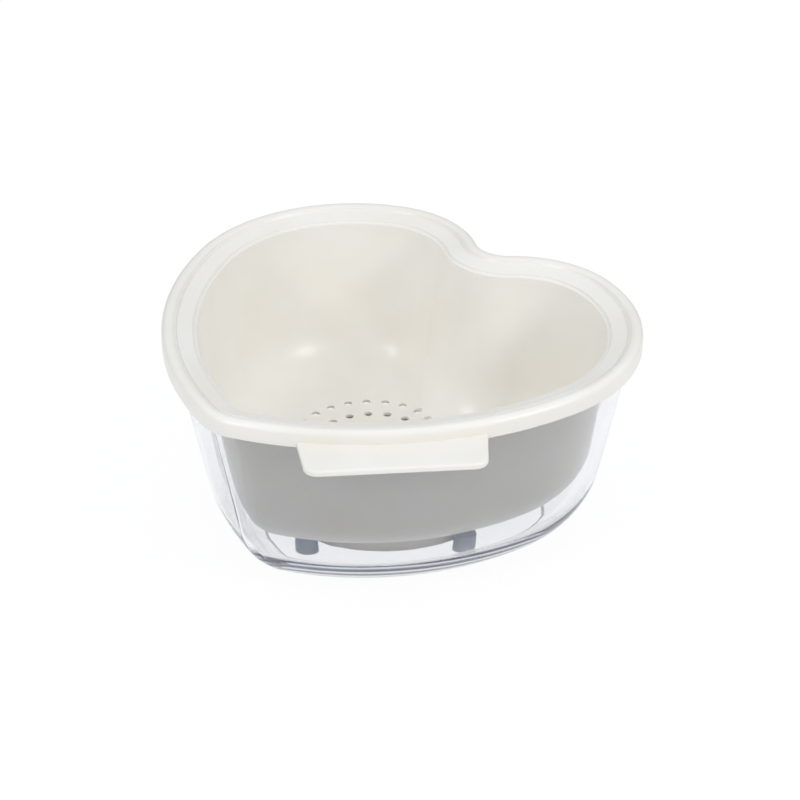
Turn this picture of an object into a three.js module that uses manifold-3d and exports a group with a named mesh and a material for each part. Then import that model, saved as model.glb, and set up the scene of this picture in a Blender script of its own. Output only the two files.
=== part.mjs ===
// Heart-shaped drain basket: a white basket with a perforated floor hangs by its rim in a clear bowl.
// Millimetres, +Z up. The heart's tip points to -Y. The origin is on the bowl's underside, at the middle
// of the base, which is also the middle of the drain holes, of the foot rim and of the post circle.
import * as THREE from 'three';
import { mergeGeometries, mergeVertices } from 'three/addons/utils/BufferGeometryUtils.js';
import Module from 'manifold-3d';

// Heart outline, at the outer edge of the basket's rim
const lobeRadius = 90.5;
const lobeSpread = 39.3; // each lobe's centre from the axis
const lobeOffset = 19; // the lobes' centres from the origin, towards the cleft
const shoulderRadius = 59.7;
const shoulderBearing = 69.7; // degrees from +X, where the lobe tightens into its shoulder
const tipRadius = 31;
const tipDistance = 119; // tip circle's centre from the line of the lobes' centres
const sideRadius = 186;
const cleftRadius = 18;
const tightestRadius = 12; // no corner of a drawn-in outline is tighter

// Heights, from the underside of the bowl
const overallHeight = 119;
const basketUnderside = 24.6;
const postHeight = 16.2;
const footRimBottom = 7.1;

// Basket rim
const skirtDepth = 9.8;
const skirtWall = 2.3;
const beadWidth = 6.7;
const beadCrown = 3.2; // width of the bead's outer rounding
const ledgeStep = 1.4; // bead top to the start of the ledge
const ledgeDrop = 3.9; // bead top to the ledge's inner edge
const ledgeThickness = 2.2;
const openingInset = 15.8; // rim outline to the ledge's inner edge
const openingRounding = 1.4;
const seatDepth = 3.8; // rim top to the face that sits on the bowl's lip
const seatMargin = 0.6; // seat's overlap past the bowl's inner face

// Basket wall and floor
const basketWall = 2.2;
const basketFloor = 1.8;
const basketDraft = 7.3; // degrees
const basketFilletAcross = 29.4; // at the tip, narrower where the heart is
const basketFilletUp = 28.7;

// Drain holes, in rows that are smaller hearts round the origin
const holeDiameter = 4.4;
const holePitch = 10.8;
const drainReach = 63; // origin to the outer row's tip
const drainRowPitch = 13.1; // tip to tip
const drainRows = 5;

// Foot rim under the basket: a circle, drawn in at the back as a small heart is
const footRimRadius = 58.2;
const footRimWall = 2;
const footRimCleft = 40; // origin to the foot rim's outside in the cleft
const footRimHeart = 0.5; // size of the small heart, as a share of the rim outline
const footRimMargin = 0.4; // foot rim to the edge of the nearest drain hole

// Lift tab on the skirt
const tabBearing = -46; // degrees, seen from the centre of the side arc
const tabReach = 21;
const tabRootWidth = 94;
const tabFrontWidth = 88;
const tabCornerRadius = 7;
const tabThickness = 3.3;
const tabEdgeRounding = 0.9;

// Bowl
const bowlWall = 2.4;
const bowlFloor = 2.6;
const bowlDraft = 10.5; // degrees
const bowlCurveAcross = 21.3; // how far the wall curves in before it meets the floor
const bowlCurveUp = 39.3;
const bowlCurveTurn = 45; // degrees of a quarter ellipse, so an edge is left round the floor
const floorStep = 1.2; // height of the step round the floor, inside
const lipReach = 1.7;
const lipHeight = 4;
const lipRounding = 0.8;
const lipClearance = 0.4; // lip to the inside of the skirt
const seatGap = 0.3; // between the bowl's lip and the basket's seat

// Hollow posts on the bowl's floor that keep the foot rim in its place: one at the tip, two on each side
const postClearance = 1.5; // foot rim to the base of a post
const postSideBearing = -12; // degrees from +X
const postBackBearing = 42; // degrees from +X
const postBaseRadius = 6.3;
const postTopRadius = 5.9;
const postEdge = 0.8;
const postWall = 2;

// Facets
const tipSteps = 5;
const sideSteps = 8;
const lobeSteps = 16;
const shoulderSteps = 8;
const cleftSteps = 5;
const filletSteps = 5;
const crownSteps = 3;
const holeSides = 8;
const postSides = 20;
const footRimSides = 72;

const radians = (degrees) => degrees * Math.PI / 180;
const wasm = await Module();
wasm.setup();

// Centres of the arcs that make the right half of the heart
const lobeCentre = new THREE.Vector2(lobeSpread, lobeOffset);
const tipCentre = new THREE.Vector2(0, lobeOffset - tipDistance);
const shoulderDirection = new THREE.Vector2(Math.cos(radians(shoulderBearing)), Math.sin(radians(shoulderBearing)));
const shoulderCentre = lobeCentre.clone().addScaledVector(shoulderDirection, lobeRadius - shoulderRadius);
const cleftHalf = Math.sqrt((shoulderRadius + cleftRadius) ** 2 - shoulderCentre.x ** 2);
const cleftCentre = new THREE.Vector2(0, shoulderCentre.y + cleftHalf);
const sideCentre = findSideCentre();

// The side arc touches the tip circle and the lobe circle from outside both
function findSideCentre() {
  const fromTip = sideRadius - tipRadius;
  const fromLobe = sideRadius - lobeRadius;
  const line = lobeCentre.clone().sub(tipCentre);
  const span = line.length();
  line.normalize();
  const along = (fromTip ** 2 - fromLobe ** 2 + span ** 2) / (2 * span);
  const aside = Math.sqrt(fromTip ** 2 - along ** 2);
  const square = new THREE.Vector2(-line.y, line.x);
  return tipCentre.clone().addScaledVector(line, along).addScaledVector(square, aside);
}

// Points along an arc, without its last point
function arcPoints(centre, radius, from, to, steps) {
  return Array.from({ length: steps }, (_, step) => {
    const angle = from + (to - from) * step / steps;
    return new THREE.Vector2(centre.x + radius * Math.cos(angle), centre.y + radius * Math.sin(angle));
  });
}

// The heart outline drawn in by an inset, anticlockwise from the tip
function heartOutline(inset) {
  const lobe = lobeRadius - inset;
  const side = sideRadius - inset;
  const tip = Math.max(tipRadius - inset, tightestRadius);
  const shoulder = Math.max(shoulderRadius - inset, tightestRadius);
  const shoulderMiddle = lobeCentre.clone().addScaledVector(shoulderDirection, lobe - shoulder);
  const tipRun = Math.sqrt((side - tip) ** 2 - sideCentre.x ** 2);
  const tipMiddle = new THREE.Vector2(0, sideCentre.y - tipRun);
  const cleft = cleftCentre.distanceTo(shoulderMiddle) - shoulder;

  const tipTurn = Math.atan2(tipMiddle.y - sideCentre.y, tipMiddle.x - sideCentre.x);
  const lobeTurn = Math.atan2(lobeCentre.y - sideCentre.y, lobeCentre.x - sideCentre.x);
  const shoulderTurn = radians(shoulderBearing);
  const cleftTurn = Math.atan2(cleftCentre.y - shoulderMiddle.y, cleftCentre.x - shoulderMiddle.x);
  const down = -Math.PI / 2;

  const rightHalf = [
    ...arcPoints(tipMiddle, tip, down, tipTurn, tipSteps),
    ...arcPoints(sideCentre, side, tipTurn, lobeTurn, sideSteps),
    ...arcPoints(lobeCentre, lobe, lobeTurn, shoulderTurn, lobeSteps),
    ...arcPoints(shoulderMiddle, shoulder, shoulderTurn, cleftTurn, shoulderSteps),
    ...arcPoints(cleftCentre, cleft, cleftTurn - Math.PI, down, cleftSteps),
  ];
  const notch = new THREE.Vector2(0, cleftCentre.y - cleft);
  const leftHalf = rightHalf.slice(1).reverse().map((point) => new THREE.Vector2(-point.x, point.y));
  return [...rightHalf, notch, ...leftHalf];
}

// A closed solid through heart outlines, from a face that looks up to one that looks down
function loft(levels) {
  const loops = levels.map(({ inset, z, size = 1 }) =>
    heartOutline(inset).map((point) => [point.x * size, point.y * size, z]));
  const count = loops[0].length;
  const faces = [];
  for (let level = 0; level + 1 < loops.length; level += 1) {
    for (let i = 0; i < count; i += 1) {
      const here = level * count + i;
      const next = level * count + (i + 1) % count;
      faces.push(here, here + count, next + count, here, next + count, next);
    }
  }
  const last = (loops.length - 1) * count;
  const cap = (loop) => THREE.ShapeUtils.triangulateShape(loop.map(([x, y]) => new THREE.Vector2(x, y)), []);
  cap(loops[0]).forEach(([a, b, c]) => faces.push(a, b, c));
  cap(loops.at(-1)).forEach(([a, b, c]) => faces.push(last + a, last + c, last + b));
  const geometry = new THREE.BufferGeometry();
  geometry.setAttribute('position', new THREE.Float32BufferAttribute(loops.flat(2), 3));
  geometry.setIndex(faces);
  return geometry;
}

// A closed three.js geometry as a solid that can be joined and cut
function solid(geometry) {
  geometry.deleteAttribute('normal');
  geometry.deleteAttribute('uv');
  const merged = mergeVertices(geometry, 1e-4);
  return new wasm.Manifold(new wasm.Mesh({
    numProp: 3,
    vertProperties: new Float32Array(merged.attributes.position.array),
    triVerts: new Uint32Array(merged.index.array),
  }));
}

function meshOf(name, body, material) {
  const { numProp, vertProperties, triVerts } = body.getMesh();
  const positions = new Float32Array(vertProperties.length / numProp * 3);
  for (let vertex = 0; vertex * numProp < vertProperties.length; vertex += 1) {
    positions.set(vertProperties.subarray(vertex * numProp, vertex * numProp + 3), vertex * 3);
  }
  const geometry = new THREE.BufferGeometry();
  geometry.setAttribute('position', new THREE.BufferAttribute(positions, 3));
  geometry.setIndex(Array.from(triVerts));
  geometry.computeVertexNormals();
  const mesh = new THREE.Mesh(geometry, material);
  mesh.name = name;
  return mesh;
}

// Upright turned piece from a radius and height profile that starts and ends on the axis
function turned(profile, sides) {
  const points = profile.map(([radius, z]) => new THREE.Vector2(radius, z));
  return new THREE.LatheGeometry(points, sides).rotateX(Math.PI / 2);
}

// Steps of a turn, as the sine and cosine of each angle, without the first
function turnSteps(steps, degrees = 90) {
  return Array.from({ length: steps }, (_, step) => {
    const angle = radians(degrees) * (step + 1) / steps;
    return { sine: Math.sin(angle), cosine: Math.cos(angle) };
  });
}

// Levels from the top of the basket's fillet to its floor, where the outline is drawn smaller
function filletLevels(wallInset, floorZ, across, up) {
  const start = floorZ + up;
  const tipReach = Math.abs(heartOutline(wallInset(floorZ))[0].y);
  return [
    { inset: wallInset(start), z: start },
    ...turnSteps(filletSteps).map(({ sine, cosine }) => {
      const z = start - up * sine;
      return { inset: wallInset(z), z, size: 1 - across / tipReach * (1 - cosine) };
    }),
  ];
}

// Levels down the lower part of the bowl's wall, which curves in and meets the floor at an edge
function curveLevels(wallInset, floorZ) {
  const start = bowlCurveUp;
  const drop = (start - floorZ) / Math.sin(radians(bowlCurveTurn));
  const draw = bowlCurveAcross / (1 - Math.cos(radians(bowlCurveTurn)));
  return [
    { inset: wallInset(start), z: start },
    ...turnSteps(filletSteps, bowlCurveTurn).map(({ sine, cosine }) => {
      const z = start - drop * sine;
      return { inset: wallInset(z) + draw * (1 - cosine), z };
    }),
  ];
}

const rimTop = overallHeight;
const skirtBottom = rimTop - skirtDepth;

// Basket surfaces: the wall's outside and inside, and the two faces of the floor
const basketOutside = (z) => openingInset + openingRounding - basketWall
  + (rimTop - z) * Math.tan(radians(basketDraft));
const basketInside = (z) => basketOutside(z) + basketWall;
const basketFloorTop = basketUnderside + basketFloor;

function basketInnerLevels() {
  const across = basketFilletAcross - basketWall;
  const up = basketFilletUp - basketFloor;
  return filletLevels(basketInside, basketFloorTop, across, up).reverse();
}

// Bead, ledge and rounded opening, from the opening out to the skirt
function basketRimLevels() {
  const opening = turnSteps(crownSteps).map(({ sine, cosine }) => ({
    inset: openingInset + openingRounding * (1 - sine),
    z: rimTop - ledgeDrop - openingRounding * cosine,
  }));
  const innerCrown = beadWidth - beadCrown;
  const inner = turnSteps(crownSteps).map(({ sine, cosine }) => ({
    inset: beadCrown + innerCrown * cosine,
    z: rimTop - ledgeStep * (1 - sine),
  }));
  const outer = turnSteps(crownSteps).map(({ sine, cosine }) => ({
    inset: beadCrown * (1 - sine),
    z: rimTop - beadCrown * (1 - cosine),
  }));
  const brink = rimTop - ledgeDrop - openingRounding;
  return [
    { inset: basketInside(brink), z: brink },
    ...opening,
    { inset: beadWidth, z: rimTop - ledgeStep },
    ...inner,
    ...outer,
    { inset: 0, z: skirtBottom },
    { inset: skirtWall, z: skirtBottom },
    { inset: skirtWall, z: rimTop - seatDepth },
    { inset: bowlInsideAtRim + seatMargin, z: rimTop - seatDepth },
  ];
}

function basketOuterLevels() {
  const underLedge = rimTop - ledgeDrop - ledgeThickness;
  return [
    { inset: basketOutside(underLedge), z: underLedge },
    ...filletLevels(basketOutside, basketUnderside, basketFilletAcross, basketFilletUp),
  ];
}

// Bowl surfaces: its lip stands just inside the skirt, and its wall is set back from the lip
const bowlTop = rimTop - seatDepth - seatGap;
const lipOutside = skirtWall + lipClearance;
const bowlOutside = (z) => lipOutside + lipReach + (bowlTop - z) * Math.tan(radians(bowlDraft));
const bowlInside = (z) => bowlOutside(z) + bowlWall;
const bowlInsideAtRim = bowlInside(bowlTop);

const bowlOuterLevels = () => curveLevels(bowlOutside, 0);

function bowlLevels() {
  const lipBottom = bowlTop - lipHeight;
  const innerCurve = curveLevels(bowlInside, bowlFloor + floorStep);
  const floorEdge = innerCurve.at(-1);
  return [
    { inset: floorEdge.inset + floorStep / 4, z: bowlFloor },
    ...innerCurve.reverse(),
    { inset: bowlInside(bowlTop - lipRounding), z: bowlTop - lipRounding },
    { inset: bowlInside(bowlTop) - lipRounding, z: bowlTop },
    { inset: lipOutside + lipRounding, z: bowlTop },
    { inset: lipOutside, z: bowlTop - lipRounding },
    { inset: lipOutside, z: lipBottom },
    { inset: bowlOutside(lipBottom - lipReach), z: lipBottom - lipReach },
    ...bowlOuterLevels(),
  ];
}

// Foot rim: a block of its outline, from which a thinner block is taken
function footRimBlock(thinner, bottom) {
  const top = basketUnderside + basketFilletUp;
  const radius = footRimRadius - thinner;
  const size = footRimHeart;
  const inset = thinner / size;
  const middle = (top + bottom) / 2;
  const shift = footRimCleft - size * (cleftCentre.y - cleftRadius);
  const round = new THREE.CylinderGeometry(radius, radius, top - bottom, footRimSides);
  round.rotateX(Math.PI / 2).translate(0, 0, middle);
  const heart = loft([{ inset, z: top, size }, { inset, z: bottom, size }]).translate(0, shift, 0);
  return solid(round).intersect(solid(heart));
}

function basketCavity() {
  const brink = rimTop - ledgeDrop;
  const levels = [{ inset: basketInside(brink), z: brink }, ...basketInnerLevels().reverse()];
  return solid(loft(levels));
}

function footRim() {
  const hollow = footRimBlock(footRimWall, footRimBottom - footRimWall);
  return footRimBlock(0, footRimBottom).subtract(hollow).subtract(basketCavity());
}

// Lift tab: a flat plate with a straight front, flush with the bottom of the skirt
function liftTab() {
  const bearing = radians(tabBearing);
  const root = new THREE.Vector2(Math.cos(bearing), Math.sin(bearing)).multiplyScalar(sideRadius).add(sideCentre);
  const rootHalf = tabRootWidth / 2 - tabEdgeRounding;
  const frontHalf = tabFrontWidth / 2 - tabEdgeRounding;
  const front = tabReach - tabEdgeRounding;
  const corner = tabCornerRadius - tabEdgeRounding;
  const sag = sideRadius - Math.sqrt(sideRadius ** 2 - rootHalf ** 2);
  const back = -sag - tabCornerRadius;
  const outline = new THREE.Shape();
  outline.moveTo(-rootHalf, back);
  outline.lineTo(rootHalf, back);
  outline.lineTo(frontHalf, front - corner);
  outline.quadraticCurveTo(frontHalf, front, frontHalf - corner, front);
  outline.lineTo(corner - frontHalf, front);
  outline.quadraticCurveTo(-frontHalf, front, -frontHalf, front - corner);
  outline.closePath();
  const plate = new THREE.ExtrudeGeometry(outline, {
    depth: tabThickness - 2 * tabEdgeRounding,
    bevelThickness: tabEdgeRounding,
    bevelSize: tabEdgeRounding,
    bevelSegments: 2,
    curveSegments: 4,
  });
  plate.rotateZ(bearing - Math.PI / 2);
  plate.translate(root.x, root.y, skirtBottom + tabEdgeRounding);
  const middleOfSkirt = skirtWall / 2;
  const inside = loft([{ inset: middleOfSkirt, z: rimTop }, { inset: middleOfSkirt, z: skirtBottom - skirtDepth }]);
  return solid(plate).subtract(solid(inside));
}

// Drain holes: each row is the heart drawn smaller round the origin, with holes evenly along it.
// A hole that would meet the round of the foot rim stands just outside it.
function clearOfFootRim(centre) {
  const reach = holeDiameter / 2 + footRimMargin;
  const outside = footRimRadius + reach;
  const inside = footRimRadius - footRimWall - reach;
  const distance = centre.length();
  if (centre.y < footRimCleft && distance > inside && distance < outside) {
    return centre.clone().setLength(outside);
  }
  return centre;
}

function drainRow(reach) {
  const outline = heartOutline(0);
  const size = reach / Math.abs(outline[0].y);
  const row = outline.map((point) => point.clone().multiplyScalar(size));
  const path = new THREE.CurvePath();
  row.forEach((point, i) => path.add(new THREE.LineCurve(point, row[(i + 1) % row.length])));
  const pairs = Math.max(1, Math.round(path.getLength() / (2 * holePitch)));
  return path.getSpacedPoints(2 * pairs).slice(0, -1).map(clearOfFootRim);
}

function drainHoles() {
  const length = 3 * basketFloor;
  const radius = holeDiameter / 2;
  const rows = Array.from({ length: drainRows }, (_, row) => drainReach - row * drainRowPitch);
  const centres = rows.filter((reach) => reach > holeDiameter).flatMap(drainRow);
  const middle = basketUnderside + basketFloor / 2;
  return solid(mergeGeometries(centres.map((centre) => {
    const drill = new THREE.CylinderGeometry(radius, radius, length, holeSides);
    drill.deleteAttribute('normal');
    drill.deleteAttribute('uv');
    return drill.rotateX(Math.PI / 2).translate(centre.x, centre.y, middle);
  })));
}

function drainBasket() {
  const shell = solid(loft([...basketInnerLevels(), ...basketRimLevels(), ...basketOuterLevels()]));
  return shell.add(footRim()).add(liftTab()).subtract(drainHoles());
}

// Bowl with its posts, which are hollow from below
function postPlaces() {
  const circle = footRimRadius + postClearance + postBaseRadius;
  const side = radians(postSideBearing);
  const back = radians(postBackBearing);
  const bearings = [-Math.PI / 2, side, back, Math.PI - back, Math.PI - side];
  return bearings.map((bearing) => [circle * Math.cos(bearing), circle * Math.sin(bearing)]);
}

function outerBowl() {
  const post = [
    [0, 0],
    [postBaseRadius, 0],
    [postTopRadius, postHeight - postEdge],
    [postTopRadius - postEdge, postHeight],
    [0, postHeight],
  ];
  const hollow = [
    [0, -bowlFloor],
    [postBaseRadius - postWall, -bowlFloor],
    [postTopRadius - postWall, postHeight - postWall],
    [0, postHeight - postWall],
  ];
  const block = solid(loft([{ inset: bowlOutside(bowlTop), z: bowlTop }, ...bowlOuterLevels()]));
  let body = solid(loft(bowlLevels()));
  for (const [x, y] of postPlaces()) {
    body = body.add(solid(turned(post, postSides).translate(x, y, 0)).intersect(block));
    body = body.subtract(solid(turned(hollow, postSides).translate(x, y, 0)));
  }
  return body;
}

const clearPlastic = new THREE.MeshStandardMaterial({
  color: 0xe4e8ee, roughness: 0.05, metalness: 0, transparent: true, opacity: 0.3,
});
const whitePlastic = new THREE.MeshStandardMaterial({ color: 0xebe9e4, roughness: 0.45, metalness: 0 });

const drainBasketSet = new THREE.Group();
drainBasketSet.add(meshOf('outer_bowl', outerBowl(), clearPlastic));
drainBasketSet.add(meshOf('drain_basket', drainBasket(), whitePlastic));

export default drainBasketSet;
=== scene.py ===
import math

import bmesh
import bpy
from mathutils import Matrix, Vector


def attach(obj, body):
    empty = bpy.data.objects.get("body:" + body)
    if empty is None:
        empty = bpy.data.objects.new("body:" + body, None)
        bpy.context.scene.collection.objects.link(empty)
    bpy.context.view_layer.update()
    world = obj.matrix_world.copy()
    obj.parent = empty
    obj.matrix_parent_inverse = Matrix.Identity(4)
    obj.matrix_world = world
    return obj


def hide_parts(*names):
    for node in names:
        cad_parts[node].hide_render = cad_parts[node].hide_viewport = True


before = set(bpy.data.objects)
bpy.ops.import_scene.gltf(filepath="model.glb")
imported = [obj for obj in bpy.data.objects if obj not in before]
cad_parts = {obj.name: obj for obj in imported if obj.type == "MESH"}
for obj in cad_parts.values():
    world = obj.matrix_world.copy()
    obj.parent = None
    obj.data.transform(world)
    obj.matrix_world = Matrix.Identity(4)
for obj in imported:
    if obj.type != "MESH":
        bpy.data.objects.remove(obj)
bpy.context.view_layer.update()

# Outer bowl
# A clear, faintly blue bowl in the shape of a heart, moulded in one shot with a lip round its top edge
# and hollow posts on its floor. It stands free on its flat underside and catches the drained water.
mm = 0.001
rim_top = 119.0

# The heart is five arcs a side, at the outer edge of the basket's rim
lobe_radius = 90.5
lobe_centre = Vector((39.3, 19.0))
shoulder_radius = 59.7
shoulder_bearing = math.radians(69.7)
tip_radius = 31.0
tip_distance = 119.0
side_radius = 186.0
cleft_radius = 18.0
tightest_radius = 12.0
arc_steps = {"tip": 12, "side": 30, "lobe": 40, "shoulder": 34, "cleft": 16}


def find_side_centre():
    """Centre of the long side arc, which touches the tip circle and the lobe circle from outside."""
    tip_centre = Vector((0.0, lobe_centre.y - tip_distance))
    from_tip = side_radius - tip_radius
    from_lobe = side_radius - lobe_radius
    line = lobe_centre - tip_centre
    along = (from_tip ** 2 - from_lobe ** 2 + line.length_squared) / (2 * line.length)
    aside = math.sqrt(from_tip ** 2 - along ** 2)
    line.normalize()
    return tip_centre + line * along + Vector((-line.y, line.x)) * aside


shoulder_way = Vector((math.cos(shoulder_bearing), math.sin(shoulder_bearing)))
rim_shoulder = lobe_centre + shoulder_way * (lobe_radius - shoulder_radius)
cleft_rise = math.sqrt((shoulder_radius + cleft_radius) ** 2 - rim_shoulder.x ** 2)
cleft_centre = Vector((0.0, rim_shoulder.y + cleft_rise))
side_centre = find_side_centre()


def bearing(start, end):
    """Direction from one point to another, in radians."""
    return math.atan2(end.y - start.y, end.x - start.x)


def arc(centre, radius, start, end, steps):
    """Points along an arc, without its last point."""
    turns = [start + (end - start) * step / steps for step in range(steps)]
    return [centre + radius * Vector((math.cos(turn), math.sin(turn))) for turn in turns]


def heart(inset):
    """The heart outline drawn in by an inset, anticlockwise from the tip."""
    lobe = lobe_radius - inset
    side = side_radius - inset
    tip = max(tip_radius - inset, tightest_radius)
    shoulder = max(shoulder_radius - inset, tightest_radius)
    shoulder_centre = lobe_centre + shoulder_way * (lobe - shoulder)
    tip_run = math.sqrt((side - tip) ** 2 - side_centre.x ** 2)
    tip_centre = Vector((0.0, side_centre.y - tip_run))
    cleft = (cleft_centre - shoulder_centre).length - shoulder
    down = -math.pi / 2
    tip_turn = bearing(side_centre, tip_centre)
    lobe_turn = bearing(side_centre, lobe_centre)
    cleft_turn = bearing(shoulder_centre, cleft_centre)
    right = arc(tip_centre, tip, down, tip_turn, arc_steps["tip"])
    right += arc(side_centre, side, tip_turn, lobe_turn, arc_steps["side"])
    right += arc(lobe_centre, lobe, lobe_turn, shoulder_bearing, arc_steps["lobe"])
    right += arc(shoulder_centre, shoulder, shoulder_bearing, cleft_turn, arc_steps["shoulder"])
    right += arc(cleft_centre, cleft, cleft_turn - math.pi, down, arc_steps["cleft"])
    notch = Vector((0.0, cleft_centre.y - cleft))
    left = [Vector((-point.x, point.y)) for point in reversed(right[1:])]
    return right + [notch] + left


def placed(name, mesh):
    """A new object from a finished bmesh, with its faces looking outwards."""
    bmesh.ops.recalc_face_normals(mesh, faces=mesh.faces)
    data = bpy.data.meshes.new(name)
    mesh.to_mesh(data)
    mesh.free()
    piece = bpy.data.objects.new(name, data)
    bpy.context.scene.collection.objects.link(piece)
    return piece


def skin(mesh, rings):
    """Quads between neighbouring rings of corners, and a face over each end."""
    for ring, after in zip(rings, rings[1:]):
        for i, corner in enumerate(ring):
            mesh.faces.new((corner, ring[i - 1], after[i - 1], after[i]))
    mesh.faces.new(rings[0])
    mesh.faces.new(reversed(rings[-1]))


def heart_body(name, levels):
    """A closed body of quads through heart outlines, each given as (inset, height, size)."""
    mesh = bmesh.new()
    rings = []
    for inset, z, size in levels:
        rings.append([mesh.verts.new((p.x * size * mm, p.y * size * mm, z * mm)) for p in heart(inset)])
    skin(mesh, rings)
    return placed(name, mesh)


def turned_bodies(name, profile, places, sides):
    """Closed turned bodies from one (radius, height) profile, at several places."""
    mesh = bmesh.new()
    for place in places:
        rings = []
        for radius, z in profile:
            ring = []
            for side in range(sides):
                turn = 2 * math.pi * side / sides
                x = place.x + radius * math.cos(turn)
                y = place.y + radius * math.sin(turn)
                ring.append(mesh.verts.new((x * mm, y * mm, z * mm)))
            rings.append(ring)
        skin(mesh, rings)
    return placed(name, mesh)


def combine(body, other, way):
    """Joins, cuts or crosses a body with another one, which is used up."""
    change = body.modifiers.new(way, "BOOLEAN")
    change.operation = way
    change.solver = "MANIFOLD"
    change.object = other
    graph = bpy.context.evaluated_depsgraph_get()
    made = bpy.data.meshes.new_from_object(body.evaluated_get(graph))
    body.modifiers.clear()
    body.data = made
    body.data.materials.clear()
    bpy.data.objects.remove(other)


def smooth(piece, crease):
    """Smooth shading, with a sharp edge wherever faces meet at more than the crease angle."""
    piece.data.shade_smooth()
    piece.data.set_sharp_from_angle(angle=math.radians(crease))


def turn_steps(steps, degrees=90):
    """Sine and cosine at each step of a turn, without the first."""
    turns = [math.radians(degrees) * (step + 1) / steps for step in range(steps)]
    return [(math.sin(turn), math.cos(turn)) for turn in turns]


def wall_levels(wall, start, end, steps):
    """Levels along a drafted wall, between its two ends."""
    heights = [start + (end - start) * step / (steps + 1) for step in range(1, steps + 1)]
    return [(wall(z), z, 1.0) for z in heights]


bowl_wall = 2.4
bowl_floor = 2.6
bowl_draft = math.tan(math.radians(10.5))
bowl_curve_across = 21.3
bowl_curve_up = 39.3
bowl_curve_turn = 45
floor_step = 1.2
step_slant = floor_step / 4
bowl_top_drop = 4.1
bowl_top = rim_top - bowl_top_drop
lip_outside = 2.7
lip_reach = 1.7
lip_height = 4.0
lip_rounding = 0.8
foot_rounding = 1.0
curve_steps = 20
wall_steps = 8
round_steps = 6
foot_round_steps = 5
floor_loop = 0.97


def bowl_outside(z):
    """Inset of the bowl's outer face at a height."""
    return lip_outside + lip_reach + (bowl_top - z) * bowl_draft


def bowl_inside(z):
    """Inset of the bowl's inner face at a height."""
    return bowl_outside(z) + bowl_wall


def bowl_curve(wall, floor_z):
    """Levels down the lower wall, which curves in and meets the floor at an edge, and a loop on the floor."""
    drop = (bowl_curve_up - floor_z) / math.sin(math.radians(bowl_curve_turn))
    draw = bowl_curve_across / (1 - math.cos(math.radians(bowl_curve_turn)))
    levels = [(wall(bowl_curve_up), bowl_curve_up, 1.0)]
    for sine, cosine in turn_steps(curve_steps, bowl_curve_turn):
        z = bowl_curve_up - drop * sine
        levels.append((wall(z) + draw * (1 - cosine), z, 1.0))
    inset, z, size = levels[-1]
    levels.append((inset, z, size * floor_loop))
    return levels


def bowl_inner_levels():
    """Inner floor and wall, up to the rounding of the lip."""
    levels = bowl_curve(bowl_inside, bowl_floor + floor_step)
    step_foot = levels[-1][0] + step_slant
    levels[-1] = (step_foot, bowl_floor, 1.0)
    levels.append((step_foot, bowl_floor, floor_loop))
    levels.reverse()
    brink = bowl_top - lip_rounding
    levels += wall_levels(bowl_inside, levels[-1][1], brink, wall_steps)
    for sine, cosine in turn_steps(round_steps):
        inset = bowl_inside(brink) - lip_rounding * (1 - cosine)
        levels.append((inset, brink + lip_rounding * sine, 1.0))
    return levels


def bowl_foot_levels():
    """Lower outer wall, with a small round where it meets the underside, and the underside."""
    levels = bowl_curve(bowl_outside, 0.0)
    corner = levels[-2][0]
    last_inset, last_z, size = levels[-3]
    slope = (corner - last_inset) / last_z
    rounded = levels[:-2]
    for sine, cosine in turn_steps(foot_round_steps):
        z = foot_rounding * (1 - sine)
        rounded.append((corner - slope * z + foot_rounding * slope / 2 * (1 - cosine), z, size))
    rounded.append((rounded[-1][0], 0.0, floor_loop))
    return rounded


def bowl_outer_levels():
    """Lip, wall and underside, from the top edge down."""
    brink = bowl_top - lip_rounding
    levels = [(lip_outside + lip_rounding, bowl_top, 1.0)]
    for sine, cosine in turn_steps(round_steps):
        levels.append((lip_outside + lip_rounding * (1 - sine), brink + lip_rounding * cosine, 1.0))
    lip_bottom = bowl_top - lip_height
    levels.append((lip_outside, lip_bottom, 1.0))
    neck = lip_bottom - lip_reach
    for sine, cosine in turn_steps(round_steps):
        inset = lip_outside + (bowl_outside(neck) - lip_outside) * (1 - cosine)
        levels.append((inset, lip_bottom - lip_reach * sine, 1.0))
    below = bowl_foot_levels()
    return levels + wall_levels(bowl_outside, neck, below[0][1], wall_steps) + below


# The posts stand on a circle, keep the basket's foot rim in its place and are hollow from below
post_circle = 66.0
post_height = 16.2
post_base = 6.3
post_crown = 5.9
post_rounding = 0.8
post_wall = 2.0
post_sides = 48
post_bearings = (-90, -12, 42, 138, 192)
post_places = []
for degrees in post_bearings:
    turn = math.radians(degrees)
    post_places.append(Vector((post_circle * math.cos(turn), post_circle * math.sin(turn))))
post_profile = [(post_base, 0.0), (post_crown, post_height - post_rounding)]
for sine, cosine in turn_steps(round_steps):
    radius = post_crown - post_rounding * (1 - cosine)
    post_profile.append((radius, post_height - post_rounding * (1 - sine)))
hollow_profile = [(post_base - post_wall, -bowl_floor), (post_crown - post_wall, post_height - post_wall)]

outer_bowl = heart_body("clear_bowl", bowl_inner_levels() + bowl_outer_levels())
posts = turned_bodies("posts", post_profile, post_places, post_sides)
bowl_block = heart_body("bowl_block", [(bowl_outside(bowl_top), bowl_top, 1.0)] + bowl_foot_levels())
combine(posts, bowl_block, "INTERSECT")
combine(outer_bowl, posts, "UNION")
combine(outer_bowl, turned_bodies("hollows", hollow_profile, post_places, post_sides), "DIFFERENCE")
smooth(outer_bowl, crease=18)


def new_material(name):
    """A material with an empty node tree, its tree and its surface output."""
    material = bpy.data.materials.new(name)
    material.use_nodes = True
    tree = material.node_tree
    tree.nodes.clear()
    return material, tree, tree.nodes.new("ShaderNodeOutputMaterial")


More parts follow.
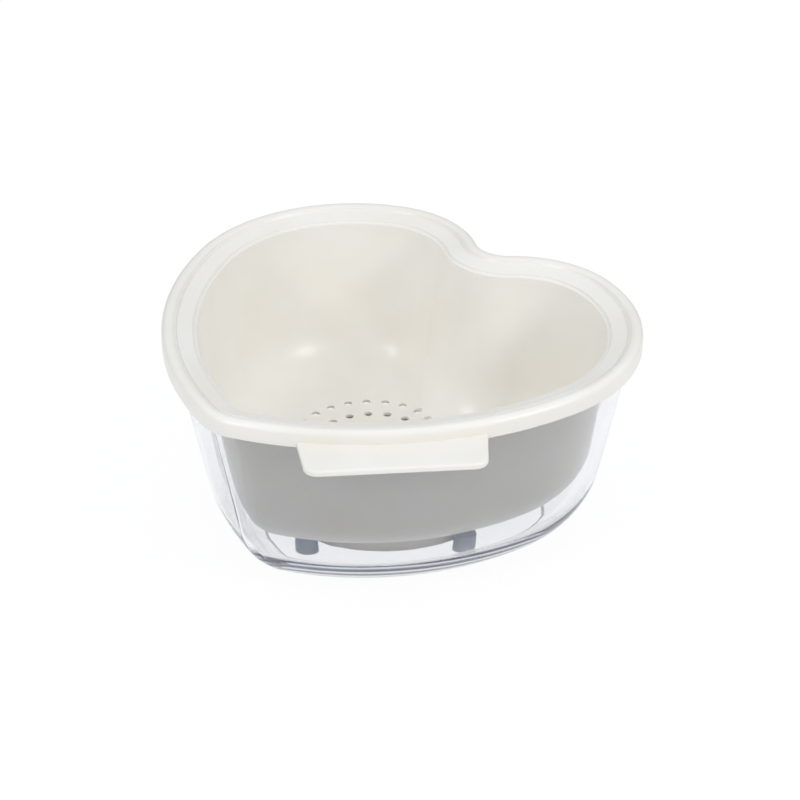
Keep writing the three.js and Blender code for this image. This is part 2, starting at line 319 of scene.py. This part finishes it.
def mottle(tree, scale, detail):
    """Soft noise over the piece's own coordinates, as a factor socket."""
    place = tree.nodes.new("ShaderNodeTexCoord")
    grain = tree.nodes.new("ShaderNodeTexNoise")
    grain.inputs["Scale"].default_value = scale
    grain.inputs["Detail"].default_value = detail
    tree.links.new(place.outputs["Object"], grain.inputs["Vector"])
    return grain.outputs["Fac"]


# The noise keeps mostly between these two values
noise_low = 0.35
noise_high = 0.65


def between(tree, factor, low, high):
    """A number that runs from low to high with a noise factor."""
    span = tree.nodes.new("ShaderNodeMapRange")
    span.inputs["From Min"].default_value = noise_low
    span.inputs["From Max"].default_value = noise_high
    span.inputs["To Min"].default_value = low
    span.inputs["To Max"].default_value = high
    tree.links.new(factor, span.inputs["Value"])
    return span.outputs["Result"]


def tinted(tree, factor, low, high):
    """A colour that runs from low to high with a noise factor."""
    ramp = tree.nodes.new("ShaderNodeValToRGB")
    ramp.color_ramp.elements[0].position = noise_low
    ramp.color_ramp.elements[0].color = (*low, 1.0)
    ramp.color_ramp.elements[1].position = noise_high
    ramp.color_ramp.elements[1].color = (*high, 1.0)
    tree.links.new(factor, ramp.inputs["Fac"])
    return ramp.outputs["Color"]


def raised(tree, factor, height, strength):
    """A bump normal from a noise factor."""
    bump = tree.nodes.new("ShaderNodeBump")
    bump.inputs["Strength"].default_value = strength
    bump.inputs["Distance"].default_value = height
    tree.links.new(factor, bump.inputs["Height"])
    return bump.outputs["Normal"]


# The posts and the two edges round the floor are left with the fine blasted face of the mould. Their dark
# slate blue colour is painted shade, for the shade seen in and through them. A mask on the faces marks them
post_shade_frost = 1.0
edge_shade_frost = 0.7
level_face = 0.99
steep_face = 0.4
near = 0.1
shade_frost = outer_bowl.data.attributes.new("shade_frost", "FLOAT", "FACE")
for face in outer_bowl.data.polygons:
    middle = Vector((face.center.x, face.center.y)) / mm
    height = face.center.z / mm
    nearest = min((middle - place).length for place in post_places)
    sloping = abs(face.normal.z) < level_face
    on_post = nearest < post_base + near and (sloping or height > bowl_floor + near)
    on_foot = sloping and height < foot_rounding and nearest > post_base
    on_step = abs(face.normal.z) < steep_face and bowl_floor < height < bowl_floor + floor_step
    if on_post:
        shade_frost.data[face.index].value = post_shade_frost
    elif on_foot or on_step:
        shade_frost.data[face.index].value = edge_shade_frost

# Polished clear plastic: a faint blue that deepens along the edges, and the slow ripple of a moulding
clear_ior = 1.5
clear_plastic, clear_tree, clear_output = new_material("clear_plastic")
clear_shader = clear_tree.nodes.new("ShaderNodeBsdfPrincipled")
clear_shader.inputs["Transmission Weight"].default_value = 1.0
clear_shader.inputs["IOR"].default_value = clear_ior
flow = mottle(clear_tree, scale=16.0, detail=1.0)
haze = mottle(clear_tree, scale=70.0, detail=3.0)
clear_tint = tinted(clear_tree, flow, low=(0.982, 0.987, 0.995), high=(0.994, 0.996, 1.0))
clear_gloss = between(clear_tree, haze, low=0.01, high=0.045)
clear_ripple = raised(clear_tree, flow, height=0.0006, strength=0.15)
clear_links = clear_tree.links
clear_links.new(clear_tint, clear_shader.inputs["Base Color"])
clear_links.new(clear_gloss, clear_shader.inputs["Roughness"])
clear_links.new(clear_ripple, clear_shader.inputs["Normal"])
# Rough faces in a dark slate blue: painted shade on the posts and the edges round the floor
shade_frosted = clear_tree.nodes.new("ShaderNodeBsdfPrincipled")
shade_frosted.inputs["Transmission Weight"].default_value = 0.2
shade_frosted.inputs["IOR"].default_value = clear_ior
shade_frost_tint = tinted(clear_tree, haze, low=(0.45, 0.53, 0.66), high=(0.51, 0.59, 0.72))
frost_gloss = between(clear_tree, haze, low=0.42, high=0.5)
clear_links.new(shade_frost_tint, shade_frosted.inputs["Base Color"])
clear_links.new(frost_gloss, shade_frosted.inputs["Roughness"])
shade_frost_mask = clear_tree.nodes.new("ShaderNodeAttribute")
shade_frost_mask.attribute_name = "shade_frost"
clear_mix = clear_tree.nodes.new("ShaderNodeMixShader")
clear_links.new(shade_frost_mask.outputs["Fac"], clear_mix.inputs["Fac"])
clear_links.new(clear_shader.outputs["BSDF"], clear_mix.inputs[1])
clear_links.new(shade_frosted.outputs["BSDF"], clear_mix.inputs[2])
clear_links.new(clear_mix.outputs["Shader"], clear_output.inputs["Surface"])
clear_depth = clear_tree.nodes.new("ShaderNodeVolumeAbsorption")
clear_depth.inputs["Color"].default_value = (0.22, 0.31, 0.52, 1.0)
clear_depth.inputs["Density"].default_value = 15.0
clear_links.new(clear_depth.outputs["Volume"], clear_output.inputs["Volume"])
outer_bowl.data.materials.append(clear_plastic)

# Light runs a long way inside the clear walls before it leaves at an edge
light_steps = 40
bpy.context.scene.cycles.max_bounces = light_steps
bpy.context.scene.cycles.transmission_bounces = light_steps
bpy.context.scene.cycles.glossy_bounces = light_steps
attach(outer_bowl, "bowl")
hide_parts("outer_bowl")

# Drain basket
# A warm white polypropylene basket moulded in one shot: a rolled bead and sloping ledge round its mouth,
# a skirt that drops over the bowl's lip, a drafted wall, a drilled floor, a foot rim and one lift tab.
skirt_depth = 9.8
skirt_wall = 2.3
bead_width = 6.7
bead_crown = 3.2
ledge_step = 1.4
ledge_drop = 3.9
ledge_thickness = 2.2
groove_width = 1.8
groove_depth = 0.8
groove_steps = 8
bead_steps = 8
opening_inset = 15.8
opening_rounding = 1.4
seat_depth = 3.8
seat_margin = 0.6
basket_wall = 2.2
basket_floor = 1.8
basket_draft = math.tan(math.radians(7.3))
basket_fillet_across = 29.4
basket_fillet_up = 28.7
basket_depth = 94.4
basket_underside = rim_top - basket_depth
basket_floor_top = basket_underside + basket_floor
skirt_bottom = rim_top - skirt_depth
skirt_rounding = 0.6
skirt_round_steps = 3


def basket_outside(z):
    """Inset of the basket's outer face at a height."""
    return opening_inset + opening_rounding - basket_wall + (rim_top - z) * basket_draft


def basket_inside(z):
    """Inset of the basket's inner face at a height."""
    return basket_outside(z) + basket_wall


def fillet(wall, floor_z, across, up):
    """Levels down the fillet to the floor, where the outline is drawn smaller, and a loop on the floor."""
    start = floor_z + up
    tip_reach = -heart(wall(floor_z))[0].y
    levels = [(wall(start), start, 1.0)]
    for sine, cosine in turn_steps(curve_steps):
        z = start - up * sine
        levels.append((wall(z), z, 1 - across / tip_reach * (1 - cosine)))
    inset, z, size = levels[-1]
    levels.append((inset, z, size * floor_loop))
    return levels


def basket_inner_levels():
    """Inner floor, fillet and wall, up to the rounded edge of the mouth."""
    across = basket_fillet_across - basket_wall
    levels = fillet(basket_inside, basket_floor_top, across, basket_fillet_up - basket_floor)
    levels.reverse()
    brink = rim_top - ledge_drop - opening_rounding
    return levels + wall_levels(basket_inside, levels[-1][1], brink, wall_steps)


def basket_rim_levels():
    """Mouth, ledge, bead and skirt, to the seat that rests on the bowl's lip."""
    brink = rim_top - ledge_drop - opening_rounding
    levels = [(basket_inside(brink), brink, 1.0)]
    for sine, cosine in turn_steps(round_steps):
        inset = opening_inset + opening_rounding * (1 - sine)
        levels.append((inset, rim_top - ledge_drop - opening_rounding * cosine, 1.0))
    levels.append(((opening_inset + bead_width) / 2, rim_top - (ledge_drop + ledge_step) / 2, 1.0))
    slope = (ledge_drop - ledge_step) / (opening_inset - bead_width)
    for step in range(groove_steps + 1):
        share = 1 - step / groove_steps
        across = groove_width * share
        dip = groove_depth * math.sin(math.pi * share)
        levels.append((bead_width + across, rim_top - ledge_step - slope * across - dip, 1.0))
    for sine, cosine in turn_steps(round_steps):
        inset = bead_crown + (bead_width - bead_crown) * cosine
        levels.append((inset, rim_top - ledge_step * (1 - sine), 1.0))
    for sine, cosine in turn_steps(bead_steps):
        levels.append((bead_crown * (1 - sine), rim_top - bead_crown * (1 - cosine), 1.0))
    levels.append((0.0, (rim_top - bead_crown + skirt_bottom) / 2, 1.0))
    levels.append((0.0, skirt_bottom + skirt_rounding, 1.0))
    for sine, cosine in turn_steps(skirt_round_steps):
        levels.append((skirt_rounding * (1 - cosine), skirt_bottom + skirt_rounding * (1 - sine), 1.0))
    levels.append((skirt_wall - skirt_rounding, skirt_bottom, 1.0))
    for sine, cosine in turn_steps(skirt_round_steps):
        inset = skirt_wall - skirt_rounding * (1 - sine)
        levels.append((inset, skirt_bottom + skirt_rounding * (1 - cosine), 1.0))
    levels.append((skirt_wall, rim_top - seat_depth, 1.0))
    levels.append((bowl_inside(bowl_top) + seat_margin, rim_top - seat_depth, 1.0))
    return levels


def basket_outer_levels():
    """Wall and fillet below the ledge, down to the underside."""
    under_ledge = rim_top - ledge_drop - ledge_thickness
    below = fillet(basket_outside, basket_underside, basket_fillet_across, basket_fillet_up)
    levels = [(basket_outside(under_ledge), under_ledge, 1.0)]
    return levels + wall_levels(basket_outside, under_ledge, below[0][1], wall_steps) + below


drain_basket = heart_body("white_basket", basket_inner_levels() + basket_rim_levels() + basket_outer_levels())

# Foot rim under the floor: a circle drawn in at the back as a small heart is, which the posts stand round
foot_radius = 58.2
foot_wall = 2.0
foot_cleft = 40.0
foot_heart_size = 0.5
foot_sides = 180
foot_depth = 111.9
foot_bottom = rim_top - foot_depth
foot_top = basket_underside + basket_fillet_up
foot_overlap = 1.0


def foot_block(thinner, bottom):
    """The space inside the foot rim's outline, drawn in by a thickness."""
    radius = foot_radius - thinner
    size = foot_heart_size
    inset = thinner / size
    round_profile = [(radius, foot_top), (radius, bottom)]
    block = turned_bodies("foot_block", round_profile, [Vector((0.0, 0.0))], foot_sides)
    heart_ends = [(inset, foot_top + foot_overlap, size), (inset, bottom - foot_overlap, size)]
    small_heart = heart_body("foot_heart", heart_ends)
    small_heart.location.y = (foot_cleft - size * (cleft_centre.y - cleft_radius)) * mm
    combine(block, small_heart, "INTERSECT")
    return block


foot_rim = foot_block(0.0, foot_bottom)
combine(foot_rim, foot_block(foot_wall, foot_bottom - foot_wall), "DIFFERENCE")
cavity_top = rim_top - ledge_drop
cavity = heart_body("cavity", basket_inner_levels() + [(basket_inside(cavity_top), cavity_top, 1.0)])
combine(foot_rim, cavity, "DIFFERENCE")
combine(drain_basket, foot_rim, "UNION")

# Lift tab: a flat plate with a straight front and soft edges, moulded onto the bottom of the skirt
tab_bearing = math.radians(-46)
tab_reach = 21.0
tab_root_width = 94.0
tab_front_width = 88.0
tab_corner = 7.0
tab_corner_steps = 10
tab_thickness = 3.3
tab_rounding = 0.9
tab_trim = 5.0


def tab_outline():
    """The plate seen from above: x along the skirt, y away from it."""
    root = tab_root_width / 2
    front = tab_front_width / 2
    sag = side_radius - math.sqrt(side_radius ** 2 - root ** 2)
    corner_centre = Vector((front - tab_corner, tab_reach - tab_corner))
    points = [Vector((root, -sag - tab_corner))]
    points += arc(corner_centre, tab_corner, 0.0, math.pi / 2, tab_corner_steps)
    points.append(Vector((corner_centre.x, tab_reach)))
    return points + [Vector((-point.x, point.y)) for point in reversed(points)]


def lift_tab_plate():
    """The plate with rounded edges, set on the skirt's side arc and not yet trimmed to it."""
    outward = Vector((math.cos(tab_bearing), math.sin(tab_bearing)))
    along = Vector((outward.y, -outward.x))
    root = side_centre + outward * side_radius
    mesh = bmesh.new()
    corners = []
    for point in tab_outline():
        place = root + along * point.x + outward * point.y
        corners.append(mesh.verts.new((place.x * mm, place.y * mm, skirt_bottom * mm)))
    plate = mesh.faces.new(corners)
    grown = bmesh.ops.extrude_face_region(mesh, geom=[plate])
    risen = [item for item in grown["geom"] if isinstance(item, bmesh.types.BMVert)]
    bmesh.ops.translate(mesh, verts=risen, vec=(0, 0, tab_thickness * mm))
    flat_edges = []
    for edge in mesh.edges:
        low, high = sorted(corner.co.z for corner in edge.verts)
        if high - low < tab_thickness * mm / 2:
            flat_edges.append(edge)
    soft = tab_rounding * mm
    bmesh.ops.bevel(mesh, geom=flat_edges, offset=soft, segments=4, profile=0.5, affect="EDGES")
    return placed("lift_tab", mesh)


lift_tab = lift_tab_plate()
skirt_middle = skirt_wall / 2
trim_ends = [(skirt_middle, rim_top, 1.0), (skirt_middle, skirt_bottom - tab_trim, 1.0)]
combine(lift_tab, heart_body("inside_skirt", trim_ends), "DIFFERENCE")
combine(drain_basket, lift_tab, "UNION")

# Drain holes: rows that are smaller hearts, with a small flare at the top of each hole
hole_radius = 2.2
hole_pitch = 10.8
hole_flare = 0.25
hole_sides = 28
foot_margin = 0.4
drain_reach = 63.0
drain_row_pitch = 13.1
drain_rows = 5


def clear_of_foot_rim(centre):
    """A hole centre, moved just outside the round of the foot rim if the hole would meet it."""
    reach = hole_radius + foot_margin
    beside = foot_radius - foot_wall - reach < centre.length < foot_radius + reach
    if beside and centre.y < foot_cleft:
        return centre.normalized() * (foot_radius + reach)
    return centre


def drain_row(reach):
    """Hole centres evenly along a heart drawn smaller round the middle of the floor."""
    outline = heart(0.0)
    size = reach / -outline[0].y
    points = [point * size for point in outline]
    points.append(points[0])
    lengths = [0.0]
    for start, end in zip(points, points[1:]):
        lengths.append(lengths[-1] + (end - start).length)
    count = 2 * max(1, round(lengths[-1] / (2 * hole_pitch)))
    centres = []
    for hole in range(count):
        along = lengths[-1] * hole / count
        leg = max(i for i, length in enumerate(lengths) if length <= along)
        share = (along - lengths[leg]) / (lengths[leg + 1] - lengths[leg])
        centres.append(clear_of_foot_rim(points[leg].lerp(points[leg + 1], share)))
    return centres


hole_centres = []
for row in range(drain_rows):
    hole_centres += drain_row(drain_reach - row * drain_row_pitch)
hole_profile = [
    (hole_radius, basket_underside - basket_floor),
    (hole_radius, basket_floor_top - hole_flare),
    (hole_radius + hole_flare, basket_floor_top),
    (hole_radius + hole_flare, basket_floor_top + basket_floor),
]
combine(drain_basket, turned_bodies("drill", hole_profile, hole_centres, hole_sides), "DIFFERENCE")
smooth(drain_basket, crease=35)

# Satin white plastic: warm, hardly mottled, with the fine even grain of a blasted mould
white_plastic, white_tree, white_output = new_material("white_plastic")
white_shader = white_tree.nodes.new("ShaderNodeBsdfPrincipled")
white_shader.inputs["IOR"].default_value = 1.49
white_shader.inputs["Subsurface Weight"].default_value = 0.12
white_shader.inputs["Subsurface Radius"].default_value = (1.0, 0.95, 0.85)
white_shader.inputs["Subsurface Scale"].default_value = 0.0015
cloud = mottle(white_tree, scale=25.0, detail=2.0)
grain = mottle(white_tree, scale=1400.0, detail=2.0)
white_tint = tinted(white_tree, cloud, low=(0.88, 0.845, 0.775), high=(0.905, 0.875, 0.82))
white_gloss = between(white_tree, grain, low=0.28, high=0.35)
white_grain = raised(white_tree, grain, height=0.00005, strength=0.08)
white_links = white_tree.links
white_links.new(white_tint, white_shader.inputs["Base Color"])
white_links.new(white_gloss, white_shader.inputs["Roughness"])
white_links.new(white_grain, white_shader.inputs["Normal"])
white_links.new(white_shader.outputs["BSDF"], white_output.inputs["Surface"])
drain_basket.data.materials.append(white_plastic)
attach(drain_basket, "basket")
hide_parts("drain_basket")

# Floor and background
# A plain white studio sweep with a faint soft shadow. In the clear bowl it shows as white that fades away
# from the set in painted shade. It throws the light of white card back on the set, with a painted glow that
# is strongest under the bowl.
background_white = (1.0, 1.0, 1.0, 1.0)
floor_half = 4.0
floor_gap = 0.0002
floor_mesh = bmesh.new()
bmesh.ops.create_grid(floor_mesh, x_segments=1, y_segments=1, size=floor_half)
bmesh.ops.translate(floor_mesh, verts=floor_mesh.verts, vec=(0, 0, -floor_gap))
floor = placed("studio_floor", floor_mesh)


def reckoned(tree, operation, first, second):
    """The result of one operation on two inputs, each of them a socket or a number."""
    node = tree.nodes.new("ShaderNodeMath")
    node.operation = operation
    for slot, value in zip(node.inputs, (first, second)):
        if isinstance(value, float):
            slot.default_value = value
        else:
            tree.links.new(value, slot)
    return node.outputs["Value"]


def seen_directly(tree):
    """1 for what the camera sees, also by gloss or through clear plastic, and 0 for light on the set."""
    path = tree.nodes.new("ShaderNodeLightPath").outputs
    shown = reckoned(tree, "MAXIMUM", path["Is Camera Ray"], path["Is Glossy Ray"])
    shown = reckoned(tree, "MAXIMUM", shown, path["Is Transmission Ray"])
    unscattered = reckoned(tree, "LESS_THAN", path["Diffuse Depth"], 0.5)
    return reckoned(tree, "MULTIPLY", shown, unscattered)


def by_distance(tree, near, far, near_level, far_level):
    """A level that runs from one value near the middle of the set to another further out."""
    place = tree.nodes.new("ShaderNodeNewGeometry")
    distance = tree.nodes.new("ShaderNodeVectorMath")
    distance.operation = "LENGTH"
    tree.links.new(place.outputs["Position"], distance.inputs[0])
    fade = tree.nodes.new("ShaderNodeMapRange")
    fade.inputs["From Min"].default_value = near
    fade.inputs["From Max"].default_value = far
    fade.inputs["To Min"].default_value = near_level
    fade.inputs["To Max"].default_value = far_level
    tree.links.new(distance.outputs["Value"], fade.inputs["Value"])
    return fade.outputs["Result"]


def sweep_level(tree, level):
    """Brightness of the sweep: even for the camera, and fading away from the set in the clear plastic."""
    path = tree.nodes.new("ShaderNodeLightPath").outputs
    # Painted shade: seen in the clear plastic, the sweep darkens away from the set
    fading = by_distance(tree, near=0.2, far=0.6, near_level=1.0, far_level=0.45)
    shown = reckoned(tree, "MAXIMUM", fading, path["Is Camera Ray"])
    return reckoned(tree, "MULTIPLY", shown, level)


floor_paint, floor_tree, floor_output = new_material("studio_white")
floor_card = floor_tree.nodes.new("ShaderNodeBsdfDiffuse")
floor_card.inputs["Color"].default_value = (0.62, 0.62, 0.63, 1.0)
floor_lift = floor_tree.nodes.new("ShaderNodeEmission")
floor_lift.inputs["Color"].default_value = background_white
floor_unseen = floor_tree.nodes.new("ShaderNodeAddShader")
floor_shadow = floor_tree.nodes.new("ShaderNodeBsdfDiffuse")
floor_shadow.inputs["Color"].default_value = (0.07, 0.07, 0.07, 1.0)
floor_glow = floor_tree.nodes.new("ShaderNodeEmission")
floor_glow.inputs["Color"].default_value = background_white
floor_seen = floor_tree.nodes.new("ShaderNodeAddShader")
floor_mix = floor_tree.nodes.new("ShaderNodeMixShader")
glow_level = sweep_level(floor_tree, level=0.945)
# Painted glow of the floor for light on the set. It is strongest under the bowl and stands in for light that
# passes through the clear bowl
lift_level = by_distance(floor_tree, near=0.08, far=0.13, near_level=0.42, far_level=0.16)
floor_links = floor_tree.links
floor_links.new(glow_level, floor_glow.inputs["Strength"])
floor_links.new(lift_level, floor_lift.inputs["Strength"])
floor_links.new(floor_shadow.outputs["BSDF"], floor_seen.inputs[0])
floor_links.new(floor_glow.outputs["Emission"], floor_seen.inputs[1])
floor_links.new(seen_directly(floor_tree), floor_mix.inputs["Fac"])
floor_links.new(floor_card.outputs["BSDF"], floor_unseen.inputs[0])
floor_links.new(floor_lift.outputs["Emission"], floor_unseen.inputs[1])
floor_links.new(floor_unseen.outputs["Shader"], floor_mix.inputs[1])
floor_links.new(floor_seen.outputs["Shader"], floor_mix.inputs[2])
floor_links.new(floor_mix.outputs["Shader"], floor_output.inputs["Surface"])
floor.data.materials.append(floor_paint)

# The camera sees a white background. The set is lit by a faintly blue room, brightest overhead, whose
# horizon is darker for gloss and clear plastic than for matt faces
overhead_level = 0.97
horizon_level = 0.1
horizon_lift = 0.4
world = bpy.data.worlds.new("studio")
world.use_nodes = True
bpy.context.scene.world = world
world_tree = world.node_tree
world_tree.nodes.clear()
world_output = world_tree.nodes.new("ShaderNodeOutputWorld")
backdrop = world_tree.nodes.new("ShaderNodeBackground")
backdrop.inputs["Color"].default_value = background_white
backdrop.inputs["Strength"].default_value = 1.0
fill_light = world_tree.nodes.new("ShaderNodeBackground")
fill_light.inputs["Color"].default_value = (0.91, 0.95, 1.0, 1.0)
world_path = world_tree.nodes.new("ShaderNodeLightPath").outputs
matt_lift = reckoned(world_tree, "MULTIPLY", world_path["Is Diffuse Ray"], horizon_lift)
horizon = reckoned(world_tree, "ADD", matt_lift, horizon_level)
sky_way = world_tree.nodes.new("ShaderNodeTexCoord")
sky_parts = world_tree.nodes.new("ShaderNodeSeparateXYZ")
sky_level = world_tree.nodes.new("ShaderNodeMapRange")
sky_level.inputs["To Max"].default_value = overhead_level
world_mix = world_tree.nodes.new("ShaderNodeMixShader")
world_links = world_tree.links
world_links.new(sky_way.outputs["Generated"], sky_parts.inputs["Vector"])
world_links.new(sky_parts.outputs["Z"], sky_level.inputs["Value"])
world_links.new(horizon, sky_level.inputs["To Min"])
world_links.new(sky_level.outputs["Result"], fill_light.inputs["Strength"])
world_links.new(world_path["Is Camera Ray"], world_mix.inputs["Fac"])
world_links.new(fill_light.outputs["Background"], world_mix.inputs[1])
world_links.new(backdrop.outputs["Background"], world_mix.inputs[2])
world_links.new(world_mix.outputs["Shader"], world_output.inputs["Surface"])

# Lamps
# Two soft boxes stand at about the same height to the left and to the right of the camera, and the light
# of the room fills in from above.
lamp_aim = Vector((0, 0, 0.08))


def soft_box(name, place, size, power):
    """A square lamp of a size and power that faces the middle of the set."""
    lamp = bpy.data.lights.new(name, "AREA")
    lamp.shape = "SQUARE"
    lamp.size = size
    lamp.energy = power
    holder = bpy.data.objects.new(name, lamp)
    holder.location = place
    holder.rotation_euler = (lamp_aim - Vector(place)).to_track_quat("-Z", "Y").to_euler()
    bpy.context.scene.collection.objects.link(holder)


soft_box("left_box", (-0.15, -1.25, 0.85), size=0.28, power=4.2)
soft_box("right_box", (1.25, 0.06, 0.8), size=0.4, power=5.0)

# Camera
# A long lens from the right of the heart's tip, looking down at about a third of a right angle, as the
# photograph was taken.
camera_data = bpy.data.cameras.new("camera")
camera_data.lens = 99.0
camera_data.sensor_width = 36.0
camera_data.clip_end = 50.0
camera = bpy.data.objects.new("camera", camera_data)
camera_back = Vector((0.5368, -0.6624, 0.5225))
camera.location = (0.6356, -0.7724, 0.6786)
camera.rotation_euler = (-camera_back).to_track_quat("-Z", "Y").to_euler()
bpy.context.scene.collection.objects.link(camera)
bpy.context.scene.camera = camera
bpy.context.scene.view_settings.view_transform = "Standard"
